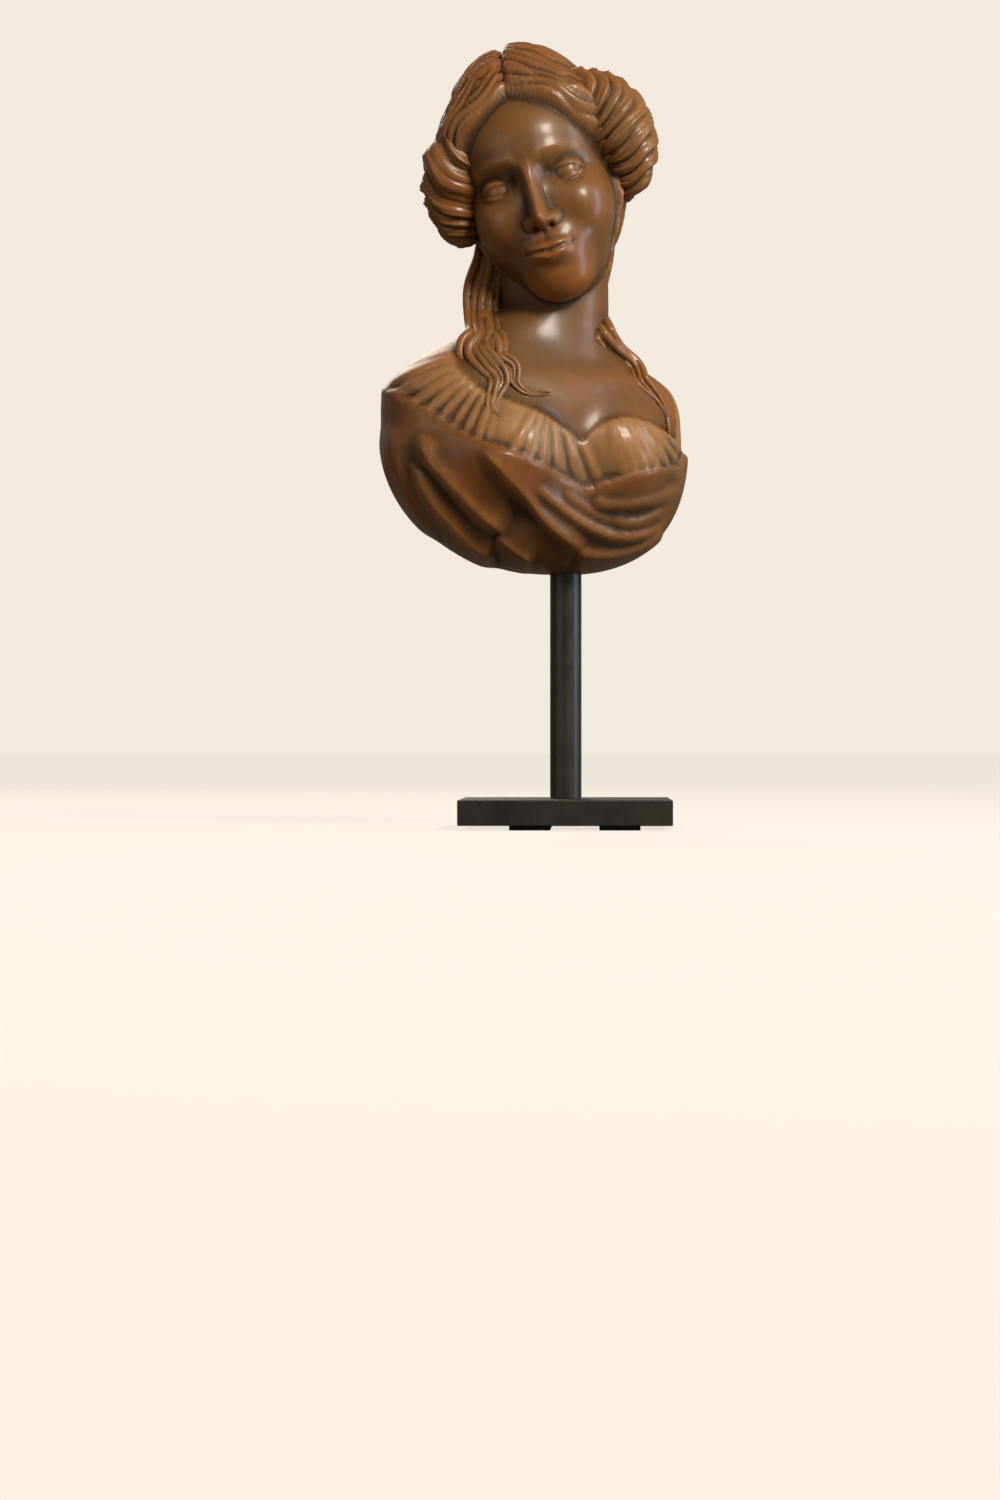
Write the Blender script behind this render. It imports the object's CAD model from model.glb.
# %% [markdown]
# # A carved figurehead on its stand
#
# The piece is a ship's figurehead: the head and shoulders of a woman, cut from one block of wood,
# varnished brown and held up by a black steel rod on a square plate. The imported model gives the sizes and
# the places. This script gives the carving its fine surface and gives every piece its finish. Shapes are
# worked out in millimetres, in the stand's own frame: the rod's axis is x = y = 0 and the floor is z = 0.
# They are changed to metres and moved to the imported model's place when they become meshes.

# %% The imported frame
import math
import bpy
import numpy as np
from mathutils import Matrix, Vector


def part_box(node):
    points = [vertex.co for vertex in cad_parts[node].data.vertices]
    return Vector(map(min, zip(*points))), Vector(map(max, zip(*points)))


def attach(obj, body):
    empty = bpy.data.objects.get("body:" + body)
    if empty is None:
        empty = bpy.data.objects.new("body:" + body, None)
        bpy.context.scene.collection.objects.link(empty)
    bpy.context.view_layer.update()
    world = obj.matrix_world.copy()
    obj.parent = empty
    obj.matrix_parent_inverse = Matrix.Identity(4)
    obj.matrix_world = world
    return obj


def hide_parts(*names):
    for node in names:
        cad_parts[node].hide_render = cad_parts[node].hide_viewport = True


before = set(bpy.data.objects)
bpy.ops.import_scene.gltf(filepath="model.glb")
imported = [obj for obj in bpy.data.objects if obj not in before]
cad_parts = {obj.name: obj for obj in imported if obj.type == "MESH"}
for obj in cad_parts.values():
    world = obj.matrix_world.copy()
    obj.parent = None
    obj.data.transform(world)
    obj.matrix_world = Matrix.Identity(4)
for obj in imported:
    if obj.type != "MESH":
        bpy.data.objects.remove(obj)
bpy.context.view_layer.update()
MM = 0.001

rod_low, rod_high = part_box("rod")
STAND = np.array([(rod_low.x + rod_high.x) / 2, (rod_low.y + rod_high.y) / 2, 0.0]) / MM
print("nodes:", ", ".join(sorted(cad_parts)))
print("the rod's axis, mm from the frame's origin:", STAND.round(2))

# %% [markdown]
# ## Camera, floor and light
#
# The camera stands about three metres away, level with the base plate, with a portrait lens of 80 mm, so
# the stand is seen nearly edge-on and the carving slightly from below. The light is plain and soft: a
# large warm lamp in front on the right, a weak cool window light from the right edge, a weak fill from
# the left and one lamp behind, and a pale surround that fills the shadows. The varnish shows the lamps as
# soft highlights, as a real varnished carving does in a gallery.

# %% Camera
CAMERA_PLACE = np.array([24.1, -3185.0, 74.7])
CAMERA_YAW = math.radians(1.564)
LENS, SENSOR = 80.0, 36.0


def in_metres(place):
    """A place of the stand's frame, in millimetres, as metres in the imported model's frame."""
    return (np.asarray(place, float) + STAND) * MM


camera_data = bpy.data.cameras.new("camera")
camera_data.lens = LENS
camera_data.sensor_width = SENSOR
camera_data.clip_end = 50.0
camera = bpy.data.objects.new("camera", camera_data)
camera.location = in_metres(CAMERA_PLACE)
camera.rotation_euler = (math.radians(90), 0, CAMERA_YAW)
bpy.context.scene.collection.objects.link(camera)
bpy.context.scene.camera = camera
print("camera at", tuple(round(v, 3) for v in camera.location))

# %% Floor, lamps and surround
FLOOR_HALF = 60.0
FLOOR_GLOW = 0.9
SURROUND = 0.24
WARM, COOL, PALE = (1.0, 0.9, 0.78), (0.72, 0.84, 1.0), (1, 0.93, 0.85)


def lamp(name, place, target, size, watts, colour):
    """A square lamp at a place, turned to face a target; both are in millimetres of the stand's frame."""
    data = bpy.data.lights.new(name, "AREA")
    data.shape = "RECTANGLE"
    data.size, data.size_y = size
    data.energy = watts
    data.color = colour
    obj = bpy.data.objects.new(name, data)
    start, end = in_metres(place), in_metres(target)
    obj.location = start
    obj.rotation_euler = Vector(end - start).to_track_quat("-Z", "Y").to_euler()
    bpy.context.scene.collection.objects.link(obj)
    return obj


BUST_MIDDLE = (-30, 0, 480)
lamp("key_lamp", (1500, -2300, 2100), BUST_MIDDLE, (0.8, 0.8), 108, WARM)
lamp("window", (1500, -250, 750), BUST_MIDDLE, (0.5, 1.6), 16, COOL)
lamp("back_lamp", (-900, 2600, 1900), BUST_MIDDLE, (1.5, 1.5), 30, WARM)
lamp("fill", (-2400, -2400, 900), BUST_MIDDLE, (1.8, 1.8), 13, PALE)

CREAM = (0.887, 0.823, 0.730, 1)
floor_mesh = bpy.data.meshes.new("floor")
corners = [(FLOOR_HALF * x, FLOOR_HALF * y, 0) for x, y in ((-1, -1), (1, -1), (1, 1), (-1, 1))]
floor_mesh.from_pydata(corners, [], [(0, 1, 2, 3)])
floor = bpy.data.objects.new("floor", floor_mesh)
bpy.context.scene.collection.objects.link(floor)
floor_paint = bpy.data.materials.new("floor_paint")
floor_paint.use_nodes = True
nodes, links = floor_paint.node_tree.nodes, floor_paint.node_tree.links
painted = nodes["Principled BSDF"]
painted.inputs["Base Color"].default_value = (0.12, 0.11, 0.096, 1)
painted.inputs["Roughness"].default_value = 0.85
painted.inputs["Emission Color"].default_value = CREAM
glow = nodes.new("ShaderNodeMath")
glow.operation = "MULTIPLY"
glow.inputs[1].default_value = FLOOR_GLOW
links.new(nodes.new("ShaderNodeLightPath").outputs["Is Camera Ray"], glow.inputs[0])
links.new(glow.outputs[0], painted.inputs["Emission Strength"])
floor_mesh.materials.append(floor_paint)

world = bpy.data.worlds.new("surround")
world.use_nodes = True
nodes, links = world.node_tree.nodes, world.node_tree.links
shown, lighting = nodes["Background"], nodes.new("ShaderNodeBackground")
shown.inputs["Color"].default_value = CREAM
lighting.inputs["Color"].default_value = (0.89, 0.83, 0.75, 1)
lighting.inputs["Strength"].default_value = SURROUND
seen = nodes.new("ShaderNodeLightPath").outputs["Is Camera Ray"]
either = nodes.new("ShaderNodeMixShader")
links.new(seen, either.inputs[0])
links.new(lighting.outputs[0], either.inputs[1])
links.new(shown.outputs[0], either.inputs[2])
links.new(either.outputs[0], nodes["World Output"].inputs["Surface"])
bpy.context.scene.world = world
bpy.context.scene.view_settings.view_transform = "Standard"

# %% [markdown]
# ## Working out solid forms as fields
#
# A carver roughs a head out as a few egg-like masses and then lets them run into each other. A field does
# the same: it is a function of a point, about the distance to the surface, negative inside the wood. Two
# fields are blended with a rounded corner between them, and one is cut out of another in the same way.
# All the functions take whole arrays of points at once.

# %% Fields
def ellipsoid(p, centre, half):
    """Distance to an ellipsoid: the point over the half sizes has length k0, over their squares k1, and
    k0 (k0 - 1) / k1 is the distance, true near the surface."""
    offset = p - np.asarray(centre, float)
    half = np.asarray(half, float)
    k0 = np.linalg.norm(offset / half, axis=1)
    k1 = np.linalg.norm(offset / half**2, axis=1)
    return k0 * (k0 - 1) / np.maximum(k1, 1e-9)


def limb(p, a, b, radius_a, radius_b):
    """Distance to the segment from a to b, less a radius that runs evenly from one end to the other."""
    a, b = np.asarray(a, float), np.asarray(b, float)
    along = b - a
    t = np.clip((p - a) @ along / (along @ along), 0, 1)
    return np.linalg.norm(p - a - t[:, None] * along, axis=1) - (radius_a + (radius_b - radius_a) * t)


def blend(a, b, k):
    """The lesser of two distances, rounded off where they are within k of each other."""
    h = np.clip(0.5 + 0.5 * (b - a) / k, 0, 1)
    return b + (a - b) * h - k * h * (1 - h)


def carve(a, b, k):
    """Distance a with b cut out of it, the rim rounded over k."""
    return -blend(-a, b, k)


def step(value, low, high):
    """0 below low, 1 above high, and the smooth curve 3t^2 - 2t^3 between."""
    t = np.clip((value - low) / (high - low), 0, 1)
    return t * t * (3 - 2 * t)


def bell(value, width):
    """A bell that is 1 at zero and falls to 1/e at the width."""
    return np.exp(-((value / width) ** 2))


def mirrored(p):
    """The same points, all on the right side."""
    return np.column_stack([np.abs(p[:, 0]), p[:, 1], p[:, 2]])


# %% Smooth curves through a few points
def through(points, count=160):
    """Catmull-Rom curve: between two points, the cubic that leaves each along the line joining its
    neighbours."""
    points = np.asarray(points, float)
    padded = np.vstack([2 * points[0] - points[1], points, 2 * points[-1] - points[-2]])
    s = np.linspace(0, len(points) - 1, count)
    i = np.minimum(s.astype(int), len(points) - 2)
    t = (s - i)[:, None]
    a, b, c, d = padded[i], padded[i + 1], padded[i + 2], padded[i + 3]
    return 0.5 * (2 * b + (c - a) * t + (2 * a - 5 * b + 4 * c - d) * t**2 + (3 * b - a - 3 * c + d) * t**3)


def height_over(points):
    """A function that reads a smooth curve through (x, z) points as z over x."""
    line = through(points)
    return lambda x: np.interp(x, line[:, 0], line[:, 1])


def near_line(p, line):
    """Distance to a polyline, how far along it from 0 to 1 the nearest place is, and on which side (+ or
    -) of it the point lies; points and line are flat, (x, z)."""
    best = np.full(len(p), np.inf)
    where, side = np.zeros(len(p)), np.zeros(len(p))
    for i, (a, b) in enumerate(zip(line[:-1], line[1:])):
        along = b - a
        offset = p - a
        h = np.clip(offset @ along / (along @ along), 0, 1)
        far = np.linalg.norm(offset - h[:, None] * along, axis=1)
        closer = far < best
        best = np.where(closer, far, best)
        where = np.where(closer, (i + h) / (len(line) - 1), where)
        side = np.where(closer, np.sign(along[0] * offset[:, 1] - along[1] * offset[:, 0]), side)
    return best, where, side


# %% [markdown]
# ## The head
#
# The head has its own frame: its middle is between the eyes at the depth of the ears, and it is leant,
# turned and nodded as a whole. The face is a calm one on the usual proportions: the eyes halfway down,
# the hairline, brow, nose and chin about a third of the face apart, a little less than an eye's width
# between the eyes. The masses are ellipsoids. Lips, brow and the hollows of the eyes are a relief pushed
# along the line of sight, because they are low and have crisp edges that a blend of round masses can't
# give.

# %% The head's frame
HEAD_CENTRE = np.array([-21.8, -12.0, 607.8])
HEAD_SIZE = 1.04
LEAN, TURN, NOD = 16.0, -8.0, 4.0


def rotation(axis, degrees):
    """The 3 by 3 matrix that turns by so many degrees about axis x, y or z."""
    c, s = math.cos(math.radians(degrees)), math.sin(math.radians(degrees))
    rows = {
        "x": [[1, 0, 0], [0, c, -s], [0, s, c]],
        "y": [[c, 0, s], [0, 1, 0], [-s, 0, c]],
        "z": [[c, -s, 0], [s, c, 0], [0, 0, 1]],
    }
    return np.array(rows[axis])


HEAD_TURN = rotation("z", TURN) @ rotation("y", -LEAN) @ rotation("x", NOD)


def from_head(q):
    """Places in the head's frame, as places in the stand's."""
    return HEAD_CENTRE + HEAD_SIZE * np.atleast_2d(q) @ HEAD_TURN.T


def to_head(p):
    """Places in the stand's frame, as places in the head's."""
    return (np.atleast_2d(p) - HEAD_CENTRE) @ HEAD_TURN / HEAD_SIZE


# %% Bare head and the relief of the face
EYE = {"x": 31.0, "y": -61.0, "z": 0.0, "radius": 15.0, "half_width": 17.0}
MOUTH = {"z": -64.0, "half_width": 21.0}


def bare_head(q):
    """The skull, the forehead, the face, the cheeks, the muzzle and the chin, blended one after
    another."""
    m = mirrored(q)
    d = ellipsoid(q, (0, 12, 24), (73, 94, 88))
    d = blend(d, ellipsoid(q, (0, -20, 38), (60, 66, 50)), 18)
    d = blend(d, ellipsoid(q, (0, -22, -34), (54, 61, 71)), 24)
    d = blend(d, ellipsoid(m, (35, -42, -28), (26, 35, 30)), 18)
    d = blend(d, ellipsoid(q, (0, -60, -64), (29, 29, 26)), 16)
    d = blend(d, ellipsoid(q, (0, -59, -89), (24, 20, 18)), 24)
    return d


def lips(x, z):
    """Relief of the mouth: a low bell above the mouth's line, a fuller one below it, and the line as a
    groove that ends in two small pits."""
    u = np.clip(np.abs(x) / MOUTH["half_width"], 0, 1)
    line = MOUTH["z"] + 1.6 * u**2 - 0.8 * bell(x, 5)
    upper = 3.4 * bell(z - line - 3.9 + 1.6 * u**2, 3.3) * (1 - u**2) ** 0.7 * (1 - 0.22 * bell(x, 3.5))
    lower = 4.8 * bell(z - line + 5.0 - 2.2 * u**2, 4.3) * (1 - u**2.4) ** 0.8
    groove = 2.2 * bell(z - line, 1.7) * (1 - u**4)
    pits = 1.5 * bell(np.abs(x) - MOUTH["half_width"], 3.4) * bell(z - line, 3)
    return upper + lower - groove - pits


def face_relief(x, z):
    """All of the face's low relief, in mm towards the viewer."""
    a = np.abs(x)
    brow_line = 22 - 0.0042 * (a - 26) ** 2
    brow = 2.6 * bell(z - brow_line, 6) * step(a, 4, 14) * (1 - step(a, 44, 58))
    hollow = 8.5 * bell(a - EYE["x"], 17) * bell(z - 3, 11.5) + 4.5 * bell(a - 15.5, 6) * bell(z - 5, 9)
    philtrum = 1.2 * bell(x, 2.8) * step(z, -57, -54) * (1 - step(z, -48, -44))
    under_lip = 1.6 * bell(x, 15) * bell(z + 79, 5)
    return brow - hollow - philtrum - under_lip + lips(x, z)


NOSE_HEIGHT = height_over([(-52, 0), (-47, 0.5), (-44, 7), (-40.5, 16.5), (-35, 21.5), (-28, 19.5),
                           (-15, 14), (0, 8.5), (10, 5.5), (22, 2.5), (36, 0)])
NOSE_WIDTH = height_over([(-52, 8), (-41, 9), (-34, 8.6), (-25, 7.6), (-10, 6.6), (5, 7), (20, 10),
                          (36, 14)])


def nose(x, z):
    """Relief of the nose: a ridge whose height and half width follow smooth curves down the face, a round
    wing at each side of its tip, and a pit under each wing."""
    a = np.abs(x)
    ridge = NOSE_HEIGHT(z) * np.exp(-((a / NOSE_WIDTH(z)) ** 2.6))
    wing = 9.5 * np.clip(1 - ((a - 9.5) / 9) ** 2 - ((z + 37) / 8) ** 2, 0, 1) ** 0.8
    pit = 6 * bell(a - 6.6, 3.0) * bell(z + 43.2, 2.4)
    return -blend(-ridge, -wing, 7.0) - pit


def eyes(q):
    """Blank eyeballs: a sphere, thickened outside the almond of the opening, where the lids lie on it."""
    m = mirrored(q)
    u = np.clip((m[:, 0] - EYE["x"]) / EYE["half_width"], -1, 1)
    z = m[:, 2] - EYE["z"] - 0.05 * (m[:, 0] - EYE["x"])
    upper_edge = 6.0 * (1 - np.abs(u) ** 2.2)
    lower_edge = -4.8 * (1 - np.abs(u) ** 2.4)
    lid = 2.0 * step(z - upper_edge, -1.0, 1.0) + 1.4 * step(lower_edge - z, -1.0, 1.0)
    ball = np.linalg.norm(m - (EYE["x"], EYE["y"], EYE["z"]), axis=1) - EYE["radius"]
    return ball - lid


def face(q):
    """The bare head moved out by the relief and the nose, with the eyes blended on."""
    front = step(-q[:, 1], 10, 45)
    moved = q.copy()
    moved[:, 1] += (face_relief(q[:, 0], q[:, 2]) + nose(q[:, 0], q[:, 2])) * front
    return blend(bare_head(moved), eyes(q), 1.2)


# %% [markdown]
# ## The hair on the head
#
# The hair is parted in the middle and drawn to both sides over the crown, in waves, down to a thick roll
# that covers each ear. On the crown it is a shell a finger thick around the skull with an opening for the
# face. The strands are a relief on that shell: they follow the half circles that run from the parting to
# the ears, so their number depends only on the angle about the line through the ears, made wavy along the
# way.

# %% Hair shell and strands
EARS = np.array([0.0, 4.0, 8.0])
HEAD_MIDDLE = np.array([0.0, 0.0, -8.0])


def strand_angles(q):
    """For a point on the hair: the angle about the line through the ears (0 at the front, pi at the back)
    and the angle away from the parting (0 at the parting, a right angle at the ears)."""
    r = q - EARS
    around = np.arctan2(r[:, 2], -r[:, 1])
    away = np.arctan2(np.abs(r[:, 0]), np.hypot(r[:, 1], r[:, 2]))
    return around, away


def ridges(phase):
    """Rounded strands with narrow grooves between them: |sin(pi phase)| to the power 0.7."""
    return np.abs(np.sin(np.pi * phase)) ** 0.7


def hair_strands(q):
    """Relief of the crown's strands. At the front they run from the parting along the hairline, so the
    angle away from the parting is added to the angle about the ears; towards the back they run straight
    down. Broad locks, strands and fine strands share one wave. Next to the face the strands follow the
    hairline itself: there their phase is the way past it, waved along the edge."""
    around, away = strand_angles(q)
    side = np.sign(q[:, 0])
    turn = around + 0.6 * away * (1 - step(around, 1.05, 2.3))
    wave = 0.050 * np.sin(10.5 * away + 2.6 * turn + 0.9 * side) * step(away, 0.04, 0.3)
    wave += 0.017 * np.sin(23 * away + 7 * turn + 1.3 * side)
    turn = (turn + wave) / np.pi
    broad = strand_profile(13 * turn + 0.3 * side + 0.12 * np.sin(6 * away), 0.35)
    middle = ridges(38 * turn + 0.35 * np.sin(7 * away + side))
    fine = ridges(90 * turn + 0.5 * np.sin(13 * away))
    low = 1 - 0.6 * (1 - step(q[:, 2], -40, 0))
    crown = (5.0 * broad + 3.4 * middle + 1.4 * fine) * (1 - 0.45 * step(around, 0.9, 1.7)) * low
    past = past_hairline(q)
    phase = past / 9.5 + 0.34 * np.sin(12 * away + 0.9 * side)
    edge = 5.2 * strand_profile(phase, 0.35) + 2.2 * ridges(2.7 * phase)
    return edge + (crown - edge) * step(past, 12, 34)


def strand_profile(phase, sharp):
    """Height of overlapping strands: each rises slowly from under the one before and drops off
    steeply."""
    f = phase - np.floor(phase)
    rising = (np.minimum(f / (1 - sharp), 1)) ** 0.6
    falling = (np.clip((1 - f) / sharp, 0, 1)) ** 0.9
    return np.minimum(rising, falling)


def past_hairline(q):
    """About how many mm a point lies beyond the hairline. Seen from the middle of the head, the hairline
    is a slightly pointed arch, 69 degrees to each side and 52 degrees up."""
    r = q - HEAD_MIDDLE
    aside = np.degrees(np.arctan2(np.abs(r[:, 0]), -r[:, 1]))
    up = np.degrees(np.arctan2(r[:, 2], np.hypot(r[:, 0], r[:, 1])))
    arch = (aside / 69) ** 1.25 + (np.maximum(up + 2, 0) / 54) ** 1.25
    return (arch**0.8 - 1) * 95


def hair_rise(q):
    """0 on the face, a smooth step over the first 12 mm beyond the hairline, and 1 from there on."""
    return step(past_hairline(q), 0, 12)


def hair_shell(q):
    """The hair over the skull: an ellipsoid, fuller over each temple, with a narrow parting pressed
    in."""
    m = mirrored(q)
    shell = ellipsoid(m, (5, 11, 24), (76, 104, 113))
    shell = blend(shell, ellipsoid(m, (38, -38, 52), (38, 48, 36)), 16)
    return shell + 4.5 * bell(q[:, 0], 3.6) * step(q[:, 2], 30, 80)


def head_with_hair(q):
    """The face with the hair on it. The hair is 9 mm thick at its edge and grows by part of the way from
    it, until it reaches the shell."""
    bare = blend(face(q), ellipsoid(q, (0, 42, -46), (50, 44, 50)), 18)
    allowed = 9 * hair_rise(q) + 0.45 * np.maximum(past_hairline(q), 0)
    return np.maximum(np.minimum(hair_shell(q), bare), bare - allowed)


# %% [markdown]
# ## Neck, shoulders and chest
#
# Below the neck the carving is a rounded block, turned a little to one side, with a flat back where it
# was fixed under the bowsprit. Its level slices are ovals whose half sizes follow smooth curves over the
# height. Below its widest height it closes like the end of an egg.

# %% Trunk
CHEST_TURN = rotation("z", 28.0)
WIDEST = 373.0
DEPTH_BELOW = 123.0
SLICE_HEIGHTS = [373, 400, 420, 440, 460, 480, 500, 540, 600]
SLICE_MIDDLE = height_over(list(zip(SLICE_HEIGHTS, [-28, -29, -32, -36, -34, -24, -14, -15, -20])))
SLICE_WIDTH = height_over(list(zip(SLICE_HEIGHTS, [145, 144, 138, 115, 85, 60, 48, 47, 46])))
SLICE_DEPTH = height_over(list(zip(SLICE_HEIGHTS, [88, 85, 80, 71, 61, 53, 48, 46, 44])))


def trunk(p):
    """Level ovals of exponent 2.25; below the widest height the height joins in as a third direction."""
    below = np.clip((WIDEST - p[:, 2]) / DEPTH_BELOW, 0, 3)
    z = np.maximum(p[:, 2], WIDEST)
    middle = np.column_stack([SLICE_MIDDLE(z) + 15 * below**2, np.full(len(p), -6.0) + 2 * below, 0 * z])
    flat = (p - middle) @ CHEST_TURN
    wide, deep = SLICE_WIDTH(z), SLICE_DEPTH(z)
    power = 2.25
    u, v = np.abs(flat[:, 0] / wide), np.abs(flat[:, 1] / deep)
    size = (u**power + v**power + below**power) ** (1 / power)
    d = (size - 1) * np.minimum(deep, 110)
    return carve(d, 62 - flat[:, 1], 26)


def breasts(p):
    """Two round masses, one each side of the turned chest's middle."""
    flat = (p - (-33, -6, 0)) @ CHEST_TURN
    return ellipsoid(mirrored(flat), (57, -66, 356), (41, 41, 40))


def bare_trunk_and_neck(p):
    """The trunk with the breasts blended on, and the neck, a limb that narrows up to the head."""
    throat = limb(p, (-14, -4, 455), NECK_TOP, 47, 46)
    return blend(blend(trunk(p), breasts(p), 24), throat, 24)


def neck_hair(p):
    """The mass of hair behind the locks, in the corner between the neck and the shoulder at each side."""
    left = limb(p, (-52, 8, 575), (-62, -12, 478), 20, 15)
    return np.minimum(left, limb(p, (18, 26, 565), (22, 14, 478), 16, 13))


def trunk_and_neck(p):
    """The bare body with the hair beside the neck blended on."""
    return blend(bare_trunk_and_neck(p), neck_hair(p), 10)


NECK_TOP = from_head((0, 18, -34))[0]
print("neck rises to", NECK_TOP.round(0))

# %% [markdown]
# ## The clothes
#
# A thin gathered shift covers the breast up to its neckline, and a heavy mantle is wrapped over it from
# one shoulder, with its edge standing up like a step and its folds running down across the front. Both
# are laid out on the front view, where a carver would draw them: an edge is a height over x, and a fold
# is a curve with a height and a width. Each is a thickness added to the body.

# %% Edges and folds on the front view
NECKLINE = height_over([(-178, 470), (-112, 452), (-98, 428), (-80, 409), (-52, 397), (-21, 385), (4, 370),
                        (15, 361), (24, 370), (38, 380), (62, 385), (92, 377), (112, 366), (130, 360)])
MANTLE_LEFT = height_over([(-185, 430), (-162, 412), (-140, 397), (-112, 379), (-84, 361), (-56, 351),
                           (-22, 338), (9, 323), (32, 308), (46, 293), (58, 284), (80, 262), (130, 240)])
MANTLE_RIGHT = height_over([(-60, 308), (0, 316), (18, 318), (40, 325), (65, 332), (90, 339), (112, 350),
                            (130, 364)])

# Each fold: the points its crest runs through, then its height, and its width above and below the crest.
FOLDS = [
    ([(-134, 372), (-127, 342), (-103, 315), (-77, 289), (-50, 272)], 7.0, 15, 6),
    ([(-148, 352), (-127, 306), (-106, 282), (-84, 260), (-62, 250)], 6.0, 11, 7),
    ([(-166, 384), (-160, 340), (-142, 300), (-118, 272)], 4.0, 11, 9),
    ([(-82, 356), (-58, 330), (-39, 310), (-10, 278), (28, 256)], 7.0, 15, 6),
    ([(-36, 330), (-19, 311), (2, 295), (28, 280), (52, 274), (80, 280), (102, 300)], 5.5, 9, 6),
    ([(24, 311), (37, 303), (65, 304), (92, 312), (108, 326)], 4.5, 6, 5),
    ([(40, 293), (58, 287), (80, 292), (102, 309)], 5.0, 7, 5),
    ([(6, 262), (24, 256), (56, 259), (86, 272), (102, 286)], 5.0, 8, 7),
    ([(-66, 274), (-50, 260), (-30, 247)], 4.0, 7, 5),
    ([(-6, 318), (12, 304), (34, 292), (54, 288)], 3.5, 5, 4),
]
FOLD_LINES = [(through(points, 26), *sizes) for points, *sizes in FOLDS]


def cloth_over(p):
    """How much of the shift and of the mantle lies on each point, from 0 to 1: each is a step over its
    edge's height. The back is covered up to the shoulders."""
    x, z = p[:, 0], p[:, 2]
    back = step(p[:, 1], 0, 30)
    neckline = NECKLINE(x) * (1 - back) + 446 * back
    edge = np.maximum(MANTLE_LEFT(x), MANTLE_RIGHT(x)) * (1 - back) + (424 - 0.22 * (x + 177)) * back
    shift = step(neckline - z, -1.3, 1.3)
    mantle = step(edge - z, -1.7, 1.7)
    return shift, mantle


def mantle_folds(p):
    """Height of the folds, and how near a point is to a crest, from 0 to 1. Beside its crest a fold falls
    off as exp(-distance / width), steeply below and gently above."""
    flat = p[:, [0, 2]]
    height, crest = np.zeros(len(p)), np.zeros(len(p))
    for line, tall, above, under in FOLD_LINES:
        far, t, side = near_line(flat, line)
        ends = step(t, 0, 0.2) * (1 - step(t, 0.8, 1))
        height = np.maximum(height, tall * np.exp(-far / np.where(side > 0, above, under)) * ends)
        crest = np.maximum(crest, bell(far, 3.5) * ends * (tall > 5))
    return height, crest


# Each fan of pleats: its centre, how many pleats it has to the radian, and its first and last angle.
SHIFT_FANS = [((-50, 457), 24, -1.45, -0.12), ((-12, 418), 15, -0.62, 0.55), ((22, 446), 36, 0.2, 0.95)]


def shift_pleats(p):
    """Narrow pleats that fan out below the neckline, from a centre above each breast and above the
    shoulder."""
    x, z = p[:, 0], p[:, 2]
    relief = np.zeros(len(p))
    for centre, count, low, high in SHIFT_FANS:
        angle = np.arctan2(x - centre[0], centre[1] - z)
        far = np.hypot(x - centre[0], z - centre[1])
        pleat = np.abs(np.sin(count * angle + 0.7 * np.sin(3.1 * angle))) ** 0.8
        within = step(angle, low, low + 0.15) * (1 - step(angle, high - 0.15, high))
        relief += pleat * within * step(far, 8, 22)
    return relief


def clothes(p):
    """Thickness of what lies on the body: the shift and its pleats, and over it the mantle and its
    folds."""
    shift, mantle = cloth_over(p)
    front = 1 - step(p[:, 1], -10, 25)
    thick = shift * (1.2 + 2.2 * front * shift_pleats(p) * (1 - mantle))
    return thick + mantle * (4.6 + 1.25 * front * mantle_folds(p)[0])


def dressed(p):
    """The body's distance less the thickness of the clothes."""
    return trunk_and_neck(p) - clothes(p)


# %% [markdown]
# ## Casting the skins
#
# Each part of the carving is a grid of two parameters, height and turn. From a place inside the wood a
# ray goes out through every grid point, and it is followed until the field says that it reached the air.
# That gives a closed skin with neat rows, as fine as it needs to be, closer set at the front where the
# detail is.

# %% From a field to a skin
COLUMNS_CROWDING = 0.45  # columns stand closer together at the front


def reach(field, start, way, rounds=20, far=0.0):
    """How far along each ray the surface lies: first steps by part of the field's distance, then
    halvings."""
    far = np.zeros(len(start)) + far
    for _ in range(rounds):
        far += 0.7 * np.clip(-field(start + far[:, None] * way), -8, 30)
    low, high = far - 2.5, far + 2.5
    for _ in range(9):
        middle = (low + high) / 2
        inside = field(start + middle[:, None] * way) < 0
        low, high = np.where(inside, middle, low), np.where(inside, high, middle)
    return (low + high) / 2


def grid_faces(rows, columns):
    """Quads of a grid of rows by columns that closes on itself sideways, with a point at each end."""
    i, j = np.meshgrid(np.arange(rows - 1), np.arange(columns), indexing="ij")
    a = 1 + i * columns + j
    b = 1 + i * columns + (j + 1) % columns
    quads = np.stack([a, b, b + columns, a + columns], -1).reshape(-1, 4)
    j = np.arange(columns)
    first = np.stack([np.zeros(columns, int), 1 + (j + 1) % columns, 1 + j], -1)
    last_row = 1 + (rows - 1) * columns
    last = np.stack([np.full(columns, 1 + rows * columns), last_row + j, last_row + (j + 1) % columns], -1)
    return [*map(tuple, quads.tolist()), *map(tuple, first.tolist()), *map(tuple, last.tolist())]


def put_mesh(name, points, faces):
    """A mesh object from points in millimetres of the stand's frame."""
    mesh = bpy.data.meshes.new(name)
    mesh.from_pydata(in_metres(points), [], faces)
    obj = bpy.data.objects.new(name, mesh)
    bpy.context.scene.collection.objects.link(obj)
    return obj


def crowded(t, middle, strength):
    """Moves even steps from 0 to 1 closer together around a middle place."""
    wave = np.sin(2 * np.pi * (t - middle)) + math.sin(2 * math.pi * middle)
    return t - strength / (2 * np.pi) * wave


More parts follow.
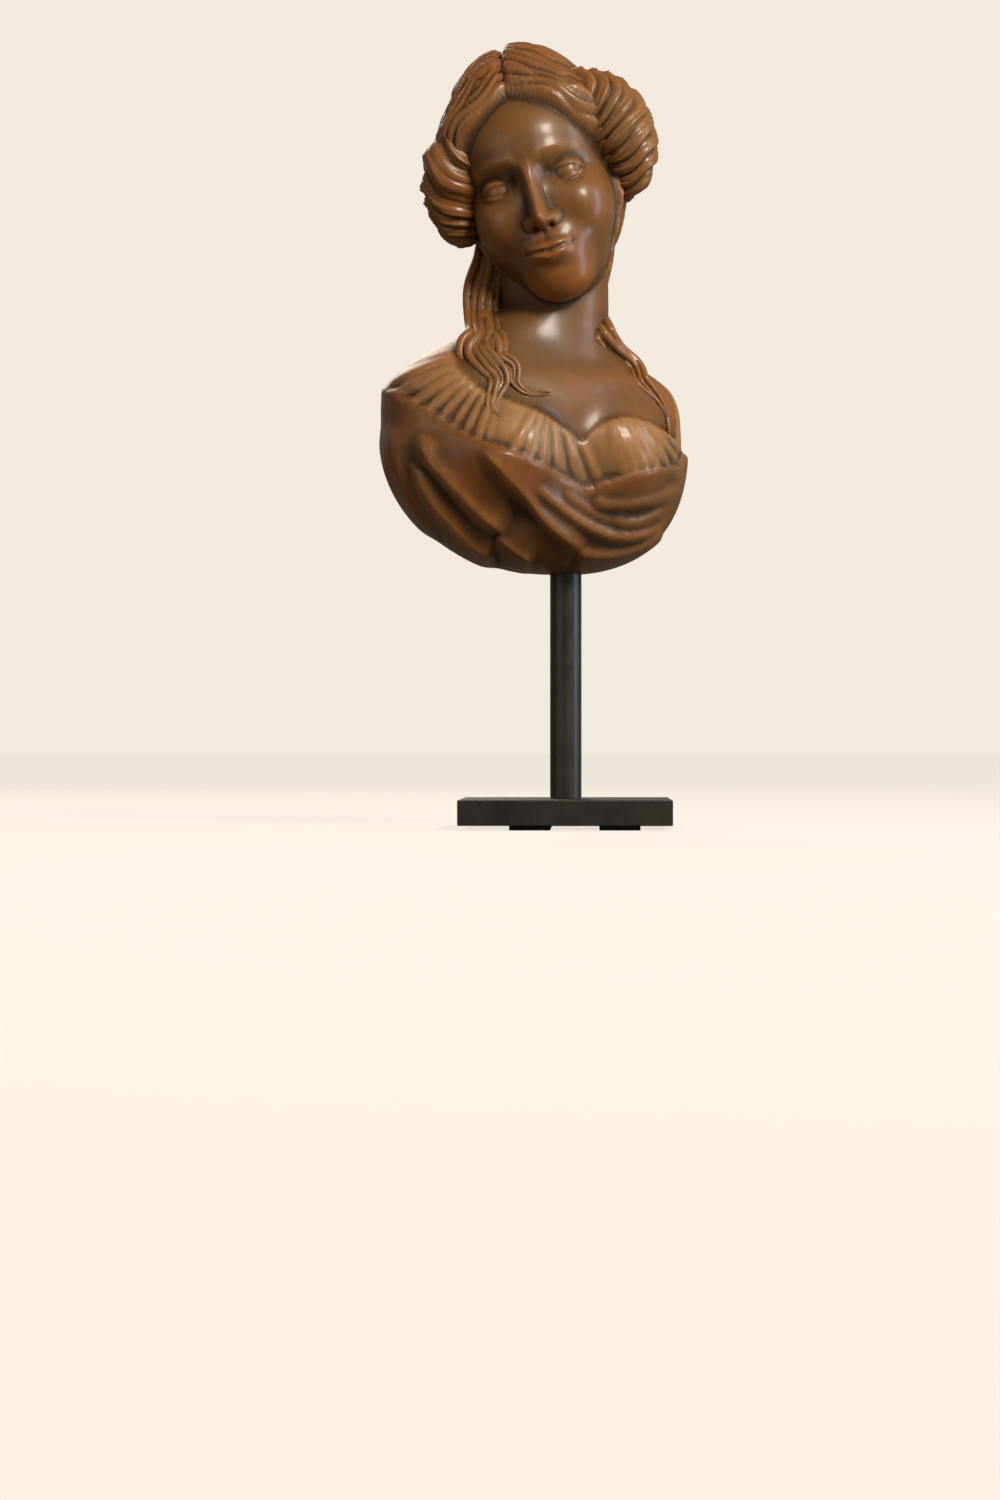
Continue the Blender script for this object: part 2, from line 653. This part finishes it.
def cast(plain, full, centres, rise, columns):
    """Points of a skin, from its lower to its upper end: one ring of rays for each centre, at its rise
    above the level, with columns closer together at the front. The rays find the plain field first and
    then the full one, which has the folds and takes longer to work out."""
    level = 2 * np.pi * np.arange(columns) / columns
    turn = level + COLUMNS_CROWDING * np.cos(level)
    way = np.stack([
        -np.cos(turn)[None, :] * np.cos(rise)[:, None],
        -np.sin(turn)[None, :] * np.cos(rise)[:, None],
        np.repeat(np.sin(rise)[:, None], columns, 1),
    ], -1).reshape(-1, 3)
    start = np.repeat(centres, columns, 0)
    ends = np.array([[0, 0, -1.0], [0, 0, 1.0]])
    start = np.vstack([centres[:1], start, centres[-1:]])
    way = np.vstack([ends[:1], way, ends[1:]])
    far = reach(plain, start, way)
    return start + reach(full, start, way, 6, far)[:, None] * way


def eased(points, rows, columns, rounds):
    """Takes the steps off a diagonal edge: every grid point moves half way to the mean of its four
    neighbours."""
    grid = points[1:-1].reshape(rows, columns, 3)
    for _ in range(rounds):
        up = np.vstack([grid[:1], grid[:-1]])
        down = np.vstack([grid[1:], grid[-1:]])
        grid = 0.5 * grid + 0.125 * (up + down + np.roll(grid, 1, 1) + np.roll(grid, -1, 1))
    return np.vstack([points[:1], grid.reshape(-1, 3), points[-1:]])


# %% Head and chest
FINE = 1.0
HEAD_GRID = (int(195 * FINE), int(280 * FINE))
CHEST_GRID = (int(150 * FINE), int(260 * FINE))
NECK_INSET = 3.0
UNDERSIDE = -122.0  # the level below which the head's own skin is cut off
FACE_ROWS, ROWS_CROWDING = 0.44, 0.45  # rows stand closer together over the face
FAN_SHARE = 0.3  # the share of the chest's rows that fan out below
FAN_CENTRE = np.array([-25.0, -6.0, 330.0])
LESS_HAIR = 5.4  # the hair is cast this much lower, because the strands' relief only adds to it


def head_field(q):
    """The head with its hair, and a stub of neck just inside the real neck, so that the jaw runs into the
    neck with a fillet."""
    stub = trunk_and_neck(from_head(q)) / HEAD_SIZE + NECK_INSET
    stub = np.maximum(stub, q[:, 2] + 20)
    return np.maximum(blend(head_with_hair(q), stub, 10), UNDERSIDE - q[:, 2])


def head_points():
    """The head's skin: rays from the middle of the head, then the strands' relief moved along each
    ray."""
    rows, columns = HEAD_GRID
    t = crowded((np.arange(rows) + 1) / (rows + 1), FACE_ROWS, ROWS_CROWDING)
    rise = np.pi * (t - 0.5)
    centres = np.repeat([HEAD_MIDDLE], rows, 0)
    q = cast(head_field, head_field, centres, rise, columns)
    out = q - HEAD_MIDDLE
    out /= np.linalg.norm(out, axis=1)[:, None]
    relief = hair_strands(q) * step(past_hairline(q), 0, 4) - LESS_HAIR * hair_rise(q)
    q += out * relief[:, None]
    return from_head(q)


def chest_points():
    """The chest's skin: the lower rings fan out from one centre, from straight down to level, and the
    upper ones are level and climb from that centre to the top of the neck."""
    rows, columns = CHEST_GRID
    fan = int(rows * FAN_SHARE)
    rise = np.concatenate([-np.pi / 2 * (1 - (np.arange(fan) + 1) / (fan + 1)), np.zeros(rows - fan)])
    t = np.concatenate([np.zeros(fan), np.linspace(0, 1, rows - fan)])[:, None]
    centres = FAN_CENTRE * (1 - t) + NECK_TOP * t
    top = NECK_TOP[2] + 2
    plain = lambda p: np.maximum(trunk_and_neck(p), p[:, 2] - top)
    full = lambda p: np.maximum(dressed(p), p[:, 2] - top)
    return cast(plain, full, centres, rise, columns)


head = put_mesh("head", eased(head_points(), *HEAD_GRID, 1), grid_faces(*HEAD_GRID))
print("head skin:", len(head.data.vertices), "points")
chest = put_mesh("chest", eased(chest_points(), *CHEST_GRID, 2), grid_faces(*CHEST_GRID))
print("chest skin:", len(chest.data.vertices), "points")

# %% [markdown]
# ## Rolls and locks
#
# The roll over each ear is a sausage of hair: a path that leaves the crown above the temple and curls
# down behind the jaw, with the strands going round it as rings. From behind the ears long locks fall over
# the shoulders. A lock is a bundle of strands that share one path and twist about it, each thick in the
# middle and drawn out to a point. Curve objects with a round section could make them, but a tube worked
# out here can change its radius all round, which is what cuts the strands into it.

# %% Tubes along a path
def tube_points(path, radius, sides):
    """Points of a closed tube: at each place of the path a ring in the plane across it. radius is an
    array of rings by sides. The rings' first direction is carried along the path, so the tube doesn't
    twist."""
    forward = np.gradient(path, axis=0)
    forward /= np.linalg.norm(forward, axis=1)[:, None]
    across = np.zeros_like(path)
    across[0] = np.cross(forward[0], (0, 1, 0.2))
    for i in range(1, len(path)):
        across[i] = across[i - 1] - forward[i] * (across[i - 1] @ forward[i])
        across[i] /= np.linalg.norm(across[i])
    across[0] /= np.linalg.norm(across[0])
    other = np.cross(forward, across)
    turn = 2 * np.pi * np.arange(sides) / sides
    rings = path[:, None] + radius[..., None] * (
        np.cos(turn)[None, :, None] * across[:, None] + np.sin(turn)[None, :, None] * other[:, None])
    ends = [path[0] - forward[0] * radius[0].mean() * 0.4, path[-1] + forward[-1] * radius[-1].mean() * 0.4]
    return np.vstack([ends[:1], rings.reshape(-1, 3), ends[1:]])


def tube(name, path, radius):
    """A closed tube mesh, its faces outwards."""
    rings, sides = radius.shape
    faces = grid_faces(rings, sides)
    return put_mesh(name, tube_points(path, radius, sides), faces)


# %% The two rolls
# Paths are in the stand's frame; "out" is the side away from the face.
ROLLS = {
    "roll_left": {"path": [(-74, -54, 670), (-86, -54, 655), (-99, -50, 637), (-106, -44, 616),
                           (-104, -36, 593), (-99, -26, 573), (-92, -16, 558)],
                  "radius": [6, 18, 28, 31, 28, 22, 12], "rings": 8, "out": -1, "seed": 1.0},
    "roll_right": {"path": [(-18, -50, 690), (6, -58, 695), (30, -56, 683), (46, -48, 664), (58, -38, 642),
                            (59, -26, 620), (50, -12, 603)],
                   "radius": [6, 19, 30, 34, 29, 22, 12], "rings": 10.5, "out": 1, "seed": 4.0},
}


def roll_relief(t, facing, outward, rings, seed):
    """Relief of a roll: strands across it that sag at the front and climb at the outside, each split into
    finer ones. Slow waves make them unequal."""
    slant = t - 0.055 * facing + 0.075 * outward + 0.022 * np.sin(5 * facing + 9 * t + seed)
    phase = rings * slant + 0.30 * np.sin(6.1 * slant + seed) + 0.22 * np.sin(15 * slant + 2 * seed)
    broad = strand_profile(phase, 0.34)
    split = ridges(2.6 * phase + 0.25 * np.sin(4 * facing + 5 * t))
    fine = ridges(6.3 * phase + 0.5 * np.sin(6 * facing + seed))
    return 6.4 * (broad - 0.75) + 1.6 * split + 0.5 * fine - 1.3


ROLL_GRID = (int(170 * FINE), int(62 * FINE))


def roll(name, path, radius, rings, out, seed):
    """One roll: a tube whose radius swells in the middle of its path, with the relief of its strands."""
    line = through(path, ROLL_GRID[0])
    t = np.linspace(0, 1, ROLL_GRID[0])[:, None]
    base = through(np.column_stack([radius, radius]), ROLL_GRID[0])[:, :1] + np.zeros(ROLL_GRID)
    smooth = tube_points(line, base, ROLL_GRID[1])[1:-1].reshape(*ROLL_GRID, 3)
    way = (smooth - line[:, None]) / base[..., None]
    fade = np.sin(np.pi * np.clip(t, 0.03, 0.97)) ** 0.35
    relief = roll_relief(t, -way[..., 1], out * way[..., 0], rings, seed)
    return tube(name, line, base + fade * relief)


rolls = [roll(name, **facts) for name, facts in ROLLS.items()]
print("rolls:", [len(r.data.vertices) for r in rolls])


# %% The long locks
def on_chest(points):
    """Lays (x, z) points of the front view on the front of the dressed body."""
    points = np.atleast_2d(np.asarray(points, float))
    start = np.column_stack([points[:, 0], np.full(len(points), 0.0), points[:, 1]])
    way = np.repeat([[0, -1.0, 0]], len(points), 0)
    return start + reach(dressed, start, way, 40)[:, None] * way


# Each lock: where it leaves the head, where it is laid on the chest, its width at the top, its strands.
LOCKS = {
    "lock_main": {"start": [(-68, 4, 570), (-70, -8, 540), (-78, -22, 510), (-79, -34, 484)],
                  "laid": [(-76, 462), (-84, 446), (-73, 431), (-62, 418), (-65, 403), (-67, 390),
                           (-59, 381)],
                  "width": 34, "strands": 5, "swing": 1.5},
    "lock_curl": {"start": [(-66, 0, 560), (-70, -16, 530), (-76, -30, 500), (-74, -36, 478)],
                  "laid": [(-65, 455), (-63, 438), (-50, 429), (-47, 414), (-34, 404), (-14, 405)],
                  "width": 24, "strands": 4, "swing": 1.2},
    "lock_right": {"start": [(34, 38, 575), (31, 35, 548), (25, 29, 520), (23, 17, 494)],
                   "laid": [(34, 470), (47, 453), (63, 438), (71, 422), (86, 408), (95, 392), (99, 370)],
                   "width": 25, "strands": 4, "swing": 2.0},
}
LOCK_GRID = (int(90 * FINE), int(5 * FINE) + 4)


def strands_of(name, start, laid, width, strands, swing):
    """The strands of one lock: tubes side by side across its path, which swing a little later each and
    lie at unequal heights. The whole lock narrows over its lower half to a point."""
    path = through(np.vstack([start, on_chest(laid)]), LOCK_GRID[0])
    t = np.linspace(0, 1, LOCK_GRID[0])
    along = np.gradient(path, axis=0)
    along /= np.linalg.norm(along, axis=1)[:, None]
    across = np.cross(along, (0, -1, 0))
    across /= np.linalg.norm(across, axis=1)[:, None]
    narrow = np.clip(1.9 * (1 - t), 0.02, 1) ** 0.9
    thick = 0.62 * width / strands * narrow + 0.5
    made = []
    for k in range(strands):
        place = (k + 0.5) / strands - 0.5
        sway = swing * np.sin(2 * np.pi * (2.6 * t + 0.21 * k)) * narrow
        lift = 3.4 * (1 - 4 * place**2) + 1.6 * np.cos(2 * np.pi * (1.4 * t + 0.43 * k))
        line = path + across * (place * width * narrow + sway)[:, None]
        line[:, 1] -= lift * narrow
        made.append(tube(f"{name}_{k}", line, np.repeat(thick[:, None], LOCK_GRID[1], 1)))
    core = through(np.vstack([start, on_chest(laid[:2])]), LOCK_GRID[0]) + (3, 6, 0)
    bulk = (0.46 * width * np.clip(2.2 * (1 - t), 0.03, 1))[:, None]
    made.append(tube(f"{name}_core", core, np.repeat(bulk, LOCK_GRID[1], 1)))
    return made


locks = [strand for name, facts in LOCKS.items() for strand in strands_of(name, **facts)]
print("strands:", len(locks))

# %% [markdown]
# ## One block
#
# The real carving is one block, so the skins are joined by a boolean union into one closed mesh. A voxel
# remesh would join them too, but it would soften the strands. The socket for the rod is drilled up into
# it from below: a round hole a little wider than the rod, with the cone that a drill's point leaves at
# its end.

# %% The rod's socket
SOCKET_GAP = 0.3
SOCKET_SIDES = 64
socket_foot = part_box("carved_bust")[0].z / MM - 20
socket_path = np.array([(0, 0, socket_foot), (0, 0, rod_high.z / MM + SOCKET_GAP)])
socket_radius = (rod_high.x - rod_low.x) / 2 / MM + SOCKET_GAP
socket = tube("socket", socket_path, np.full((2, SOCKET_SIDES), socket_radius))
print("socket, mm across:", round(2 * socket_radius, 1))

# %% Union
def joined(name, parts, hole):
    """One closed mesh: overlapping closed meshes made one, less the hole."""
    whole = parts[0]
    for other in [*parts[1:], hole]:
        boolean = whole.modifiers.new(other.name, "BOOLEAN")
        boolean.operation = "DIFFERENCE" if other is hole else "UNION"
        boolean.solver = "MANIFOLD"
        boolean.object = other
    ready = bpy.data.meshes.new_from_object(whole.evaluated_get(bpy.context.evaluated_depsgraph_get()))
    obj = bpy.data.objects.new(name, ready)
    bpy.context.scene.collection.objects.link(obj)
    for part in [*parts, hole]:
        bpy.data.objects.remove(part)
    return obj


bust = joined("figurehead", [chest, head, *rolls, *locks], socket)
bust.data.shade_smooth()
triangles = sum(len(face.vertices) - 2 for face in bust.data.polygons)
print("figurehead:", len(bust.data.vertices), "points,", triangles, "triangles")
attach(bust, "root")
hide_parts("carved_bust")

# %% [markdown]
# ## What the wood's finish needs to know about the shape
#
# Old varnish is dark and thick in the grooves and thin and worn on the ridges, and the carving was
# stained in different browns: the hair, the bare skin, the shift and the mantle. The finish reads these
# from the mesh, as numbers kept at every point: the hollow is how far a point lies below the average of
# its surroundings.

# %% Masks on the mesh
def smoothed(values, pairs, rounds):
    """Each value becomes the average of its neighbours' values, so many times over."""
    count = np.bincount(pairs.ravel(), minlength=len(values))[:, None]
    for _ in range(rounds):
        total = np.zeros_like(values)
        for k in range(values.shape[1]):
            total[:, k] = np.bincount(pairs[:, 0], values[pairs[:, 1], k], len(values))
            total[:, k] += np.bincount(pairs[:, 1], values[pairs[:, 0], k], len(values))
        values = total / count
    return values


def put_mask(mesh, name, values):
    """Keeps one number for each point of the mesh under a name."""
    mask = mesh.attributes.new(name, "FLOAT", "POINT")
    mask.data.foreach_set("value", np.clip(values, 0, 1).astype(np.float32))


def numbers(collection, name, width, kind=float):
    """A property of every item of a mesh's collection, as an array with one row for each item."""
    flat = np.empty(len(collection) * width, kind)
    collection.foreach_get(name, flat)
    return flat.reshape(-1, width)


def hair_mask(p):
    """1 on hair: on the head beyond the hairline, and wherever a point stands clear of the dressed
    body."""
    q = to_head(p)
    on_head = step(past_hairline(q), 0, 3) * step(q[:, 2], -75, -60)
    clear = step(dressed(p), 1.5, 3) * step(np.abs(p[:, 0] + 12), 42, 50) * (1 - step(p[:, 2], 575, 590))
    clear *= step(p[:, 2], 350, 356)
    beside_neck = step(bare_trunk_and_neck(p) - neck_hair(p), 0, 4)
    return np.maximum(on_head, np.maximum(clear, beside_neck))


mesh = bust.data
place = numbers(mesh.vertices, "co", 3) / MM - STAND
outward = numbers(mesh.vertices, "normal", 3)
pairs = numbers(mesh.edges, "vertices", 2, np.int32)
near_average = smoothed(place, pairs, 4)
wide_average = smoothed(near_average, pairs, 40)
sharp_hollow = np.sum((near_average - place) * outward, axis=1)
broad_hollow = np.sum((wide_average - place) * outward, axis=1)
hair = hair_mask(place)
shift, mantle = cloth_over(place)
put_mask(mesh, "hair", hair)
put_mask(mesh, "shift", shift * (1 - mantle) * (1 - hair))
put_mask(mesh, "mantle", mantle * (1 - hair))
put_mask(mesh, "crest", mantle_folds(place)[1] * mantle * (1 - hair) * (1 - step(place[:, 1], -10, 25)))
put_mask(mesh, "hollow", 0.5 + 0.9 * sharp_hollow + 0.16 * broad_hollow)
print("hollow from", sharp_hollow.min().round(2), "to", sharp_hollow.max().round(2))

# %% [markdown]
# ## Finishes
#
# Two patterns are shared. "grain" is the wood's own: long streaks up the block and slow blotches. "wear"
# turns a hollow mask and a pattern into dirt in the grooves and rubbed ridges; the steel uses it too, for
# its scuffs.

# %% Helpers for nodes
def new_group(name, inputs, outputs):
    """A shader node group with named sockets; inputs and outputs are lists of (name, kind)."""
    group = bpy.data.node_groups.new(name, "ShaderNodeTree")
    for socket, kind in inputs:
        group.interface.new_socket(socket, in_out="INPUT", socket_type=kind)
    for socket, kind in outputs:
        group.interface.new_socket(socket, in_out="OUTPUT", socket_type=kind)
    return group, group.nodes.new("NodeGroupInput"), group.nodes.new("NodeGroupOutput")


def noise(tree, vector, scale, detail=4.0, rough=0.55):
    """A noise texture's value at a vector."""
    node = tree.nodes.new("ShaderNodeTexNoise")
    node.inputs["Scale"].default_value = scale
    node.inputs["Detail"].default_value = detail
    node.inputs["Roughness"].default_value = rough
    tree.links.new(vector, node.inputs["Vector"])
    return node.outputs["Fac"]


def spread(tree, value, low, high, to_low=0.0, to_high=1.0):
    """A value's range from low to high, stretched to another range and held there."""
    node = tree.nodes.new("ShaderNodeMapRange")
    for socket, number in zip(("From Min", "From Max", "To Min", "To Max"), (low, high, to_low, to_high)):
        node.inputs[socket].default_value = number
    tree.links.new(value, node.inputs["Value"])
    return node.outputs["Result"]


def maths(tree, kind, a, b):
    """One sum or product of two values, each a socket or a number."""
    node = tree.nodes.new("ShaderNodeMath")
    node.operation = kind
    for value, socket in ((a, node.inputs[0]), (b, node.inputs[1])):
        if isinstance(value, (int, float)):
            socket.default_value = value
        else:
            tree.links.new(value, socket)
    return node.outputs[0]


def mixed(tree, share, a, b, how="MIX"):
    """Colour a changed towards colour b by a share. Colours are sockets or (red, green, blue)."""
    node = tree.nodes.new("ShaderNodeMix")
    node.data_type = "RGBA"
    node.blend_type = how
    factor, first, second = node.inputs[0], node.inputs[6], node.inputs[7]
    for value, socket in ((share, factor), (a, first), (b, second)):
        if isinstance(value, tuple):
            socket.default_value = (*value, 1)
        elif isinstance(value, (int, float)):
            socket.default_value = value
        else:
            tree.links.new(value, socket)
    return node.outputs[2]


def stretched(tree, vector, scale):
    """A vector scaled along its axes: a small scale draws a pattern out along that axis."""
    node = tree.nodes.new("ShaderNodeMapping")
    node.inputs["Scale"].default_value = scale
    tree.links.new(vector, node.inputs["Vector"])
    return node.outputs["Vector"]


# %% Shared patterns
grain, inside, outside = new_group(
    "grain", [("Vector", "NodeSocketVector")],
    [("Streaks", "NodeSocketFloat"), ("Blotches", "NodeSocketFloat"), ("Pores", "NodeSocketFloat")])
streaks = noise(grain, stretched(grain, inside.outputs[0], (1, 1, 0.09)), 130, 5, 0.6)
blotches = noise(grain, stretched(grain, inside.outputs[0], (1, 1, 0.6)), 11, 4, 0.6)
pores = noise(grain, stretched(grain, inside.outputs[0], (1, 1, 0.2)), 520, 2, 0.5)
for value, socket in zip((streaks, blotches, pores), outside.inputs):
    grain.links.new(spread(grain, value, 0.3, 0.7), socket)

wear, inside, outside = new_group(
    "wear", [("Hollow", "NodeSocketFloat"), ("Pattern", "NodeSocketFloat")],
    [("Dirt", "NodeSocketFloat"), ("Rubbed", "NodeSocketFloat")])
ragged = spread(wear, inside.outputs["Pattern"], 0, 1, -0.08, 0.08)
uneven = maths(wear, "ADD", inside.outputs["Hollow"], ragged)
wear.links.new(spread(wear, uneven, 0.54, 1.10), outside.inputs["Dirt"])
wear.links.new(spread(wear, uneven, 0.46, 0.10), outside.inputs["Rubbed"])
print("groups:", grain.name, wear.name)


# %% Varnished wood
SKIN, HAIR = (0.145, 0.063, 0.014), (0.162, 0.073, 0.020)
SHIFT, MANTLE = (0.215, 0.118, 0.045), (0.122, 0.050, 0.012)
DARK, ORANGE, GREENISH = (0.016, 0.007, 0.003), (0.25, 0.110, 0.022), (0.100, 0.068, 0.032)


def new_material(name):
    """A new material with nodes, its tree and its Principled BSDF."""
    material = bpy.data.materials.new(name)
    material.use_nodes = True
    return material, material.node_tree, material.node_tree.nodes["Principled BSDF"]


def mask_of(tree, name):
    """A mask kept on the mesh, read by its name."""
    node = tree.nodes.new("ShaderNodeAttribute")
    node.attribute_name = name
    return node.outputs["Fac"]


def use(tree, group, *values):
    """Places a group in a tree, sets its inputs in order, and gives its outputs."""
    node = tree.nodes.new("ShaderNodeGroup")
    node.node_tree = group
    for value, socket in zip(values, node.inputs):
        if isinstance(value, (int, float)):
            socket.default_value = value
        else:
            tree.links.new(value, socket)
    return node.outputs


wood, tree, shader = new_material("varnished wood")
where = tree.nodes.new("ShaderNodeTexCoord").outputs["Object"]
streaks, blotches, pores = use(tree, grain, where)
dirt, rubbed = use(tree, wear, mask_of(tree, "hollow"), streaks)
cloth, shift_share, hair_share = mask_of(tree, "mantle"), mask_of(tree, "shift"), mask_of(tree, "hair")
colour = mixed(tree, hair_share, SKIN, HAIR)
colour = mixed(tree, shift_share, colour, SHIFT)
colour = mixed(tree, cloth, colour, MANTLE)
patches = spread(tree, noise(tree, where, 7.5, 3, 0.6), 0.46, 0.66)
colour = mixed(tree, maths(tree, "MULTIPLY", patches, 0.3), colour, GREENISH)
reddish = maths(tree, "MULTIPLY", spread(tree, blotches, 0.35, 0.9), 0.75)
redder = mixed(tree, 1.0, colour, (1.25, 0.90, 0.62), "MULTIPLY")
colour = mixed(tree, reddish, colour, redder)
golden = maths(tree, "MULTIPLY", mask_of(tree, "crest"), spread(tree, blotches, 0.15, 0.75, 0.15, 0.9))
colour = mixed(tree, golden, colour, ORANGE)
paler = mixed(tree, 1.0, colour, (1.75, 1.62, 1.5), "MULTIPLY")
colour = mixed(tree, maths(tree, "MULTIPLY", rubbed, 0.55), colour, paler)
colour = mixed(tree, maths(tree, "MULTIPLY", spread(tree, streaks, 0.62, 0.2), 0.16), colour, DARK)
colour = mixed(tree, maths(tree, "MULTIPLY", dirt, 0.85), colour, DARK)
tree.links.new(colour, shader.inputs["Base Color"])
matt = maths(tree, "ADD", spread(tree, blotches, 0, 1, 0.34, 0.52), maths(tree, "MULTIPLY", dirt, 0.25))
tree.links.new(matt, shader.inputs["Roughness"])
tree.links.new(spread(tree, dirt, 0, 1, 0.24, 0.02), shader.inputs["Coat Weight"])
shader.inputs["Coat Roughness"].default_value = 0.2
shader.inputs["Specular IOR Level"].default_value = 0.28
bump = tree.nodes.new("ShaderNodeBump")
bump.inputs["Strength"].default_value = 0.14
bump.inputs["Distance"].default_value = 0.0006
tree.links.new(maths(tree, "ADD", streaks, maths(tree, "MULTIPLY", pores, 0.35)), bump.inputs["Height"])
tree.links.new(bump.outputs["Normal"], shader.inputs["Normal"])
bust.data.materials.clear()
bust.data.materials.append(wood)

# %% [markdown]
# ## The stand
#
# The rod and the plate are steel with a thin black paint, satin, a little browned by dust. Felt strips
# under the plate keep it off the shelf. Their shapes are right as packed, so only their finish is made
# here.

# %% Painted steel and felt
steel, tree, shader = new_material("black painted steel")
where = tree.nodes.new("ShaderNodeTexCoord").outputs["Object"]
cloudy = spread(tree, noise(tree, where, 24, 5, 0.6), 0.35, 0.65)
scuffs = spread(tree, noise(tree, stretched(tree, where, (1, 1, 0.12)), 260, 3, 0.6), 0.5, 0.75)
dust, scuffed = use(tree, wear, spread(tree, cloudy, 0, 1, 0.35, 0.75), scuffs)
paint = mixed(tree, cloudy, (0.011, 0.0085, 0.0068), (0.021, 0.0155, 0.012))
paint = mixed(tree, maths(tree, "MULTIPLY", dust, 0.16), paint, (0.075, 0.058, 0.044))
tree.links.new(paint, shader.inputs["Base Color"])
tree.links.new(spread(tree, scuffed, 0, 1, 0.42, 0.30), shader.inputs["Roughness"])
bump = tree.nodes.new("ShaderNodeBump")
bump.inputs["Strength"].default_value = 0.25
bump.inputs["Distance"].default_value = 0.0004
tree.links.new(maths(tree, "ADD", scuffs, cloudy), bump.inputs["Height"])
tree.links.new(bump.outputs["Normal"], shader.inputs["Normal"])

felt, tree, shader = new_material("black felt")
where = tree.nodes.new("ShaderNodeTexCoord").outputs["Object"]
fibres = noise(tree, where, 900, 3, 0.7)
fluff = mixed(tree, fibres, (0.012, 0.012, 0.013), (0.045, 0.044, 0.045))
tree.links.new(fluff, shader.inputs["Base Color"])
shader.inputs["Roughness"].default_value = 0.95
bump = tree.nodes.new("ShaderNodeBump")
bump.inputs["Strength"].default_value = 0.6
bump.inputs["Distance"].default_value = 0.0006
tree.links.new(fibres, bump.inputs["Height"])
tree.links.new(bump.outputs["Normal"], shader.inputs["Normal"])

STAND_FINISHES = {"rod": steel, "base_plate": steel, "foot_strip_left": felt, "foot_strip_right": felt}
for node, material in STAND_FINISHES.items():
    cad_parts[node].material_slots[0].material = material
print("finishes on the stand:", steel.name, "and", felt.name)
